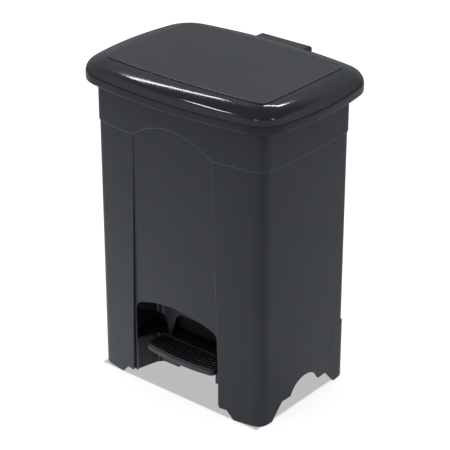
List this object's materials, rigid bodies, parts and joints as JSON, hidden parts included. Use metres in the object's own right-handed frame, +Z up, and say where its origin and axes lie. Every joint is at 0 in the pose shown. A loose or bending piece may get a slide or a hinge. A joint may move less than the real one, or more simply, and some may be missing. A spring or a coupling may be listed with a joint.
{
  "type": "pedal trash can",
  "caption": "Step-on waste can with a hinged bowed lid, a bowed rectangular shell with a pedal well, a lift-out liner and a rod-driven pedal.",
  "frame": {"origin": "centre of the bounding box's base, on the floor under the feet", "axes": "+Z up, X across the can, -Y towards the front with the pedal"},
  "size_m": [0.2994, 0.226, 0.4],
  "materials": {
    "shell_plastic": "moulded matte",
    "lid_plastic": "satin top with a glossy rim",
    "liner_plastic": "moulded matte",
    "pedal_plastic": "moulded satin",
    "tread_plastic": "glossy moulded ridges",
    "bracket_plastic": "moulded matte",
    "steel": "plated",
    "screw_steel": "plated",
    "rod_steel": "drawn wire",
    "bumper_rubber": "soft"
  },
  "bodies": {
    "shell": {"outer_shell": "shell_plastic", "pedal_axle": "steel", "axle_clips": "steel", "left_axle_bracket": "bracket_plastic", "right_axle_bracket": "bracket_plastic", "bracket_screws": "screw_steel", "upper_rod_guide": "bracket_plastic", "lower_rod_guide": "bracket_plastic", "guide_screws": "screw_steel", "lid_bumpers": "bumper_rubber"},
    "lid": {"lid": "lid_plastic", "lid_bracket": "bracket_plastic", "lid_bracket_screws": "screw_steel", "hinge_pin": "rod_steel", "hinge_washers": "bracket_plastic"},
    "pedal": {"pedal_lever": "pedal_plastic", "pedal_tread": "tread_plastic"},
    "rod": {"lift_rod": "rod_steel", "rod_clips": "steel"},
    "liner": {"liner": "liner_plastic"}
  },
  "joints": [
    {"name": "lid_hinge", "type": "hinge", "parent": "shell", "child": "lid", "pos_m": [0, 0.1032, 0.382], "axis": [-1, 0, 0], "range_deg": [0, 70]},
    {"name": "pedal_hinge", "type": "hinge", "parent": "shell", "child": "pedal", "pos_m": [0, -0.005, 0.031], "axis": [1, 0, 0], "range_deg": [0, 22.3]},
    {"name": "rod_lift", "type": "slide", "parent": "shell", "child": "rod", "axis": [0, 0, 1], "range_m": [0, 0.0333]},
    {"name": "liner_lift", "type": "slide", "parent": "shell", "child": "liner", "axis": [0, 0, 1], "range_m": [0, 0.008]}
  ],
  "couplings": [
    {"joint": "pedal_hinge", "follows": "lid_hinge", "ratio": 0.31736},
    {"joint": "rod_lift", "follows": "lid_hinge", "m_per_rad": 0.027158}
  ]
}
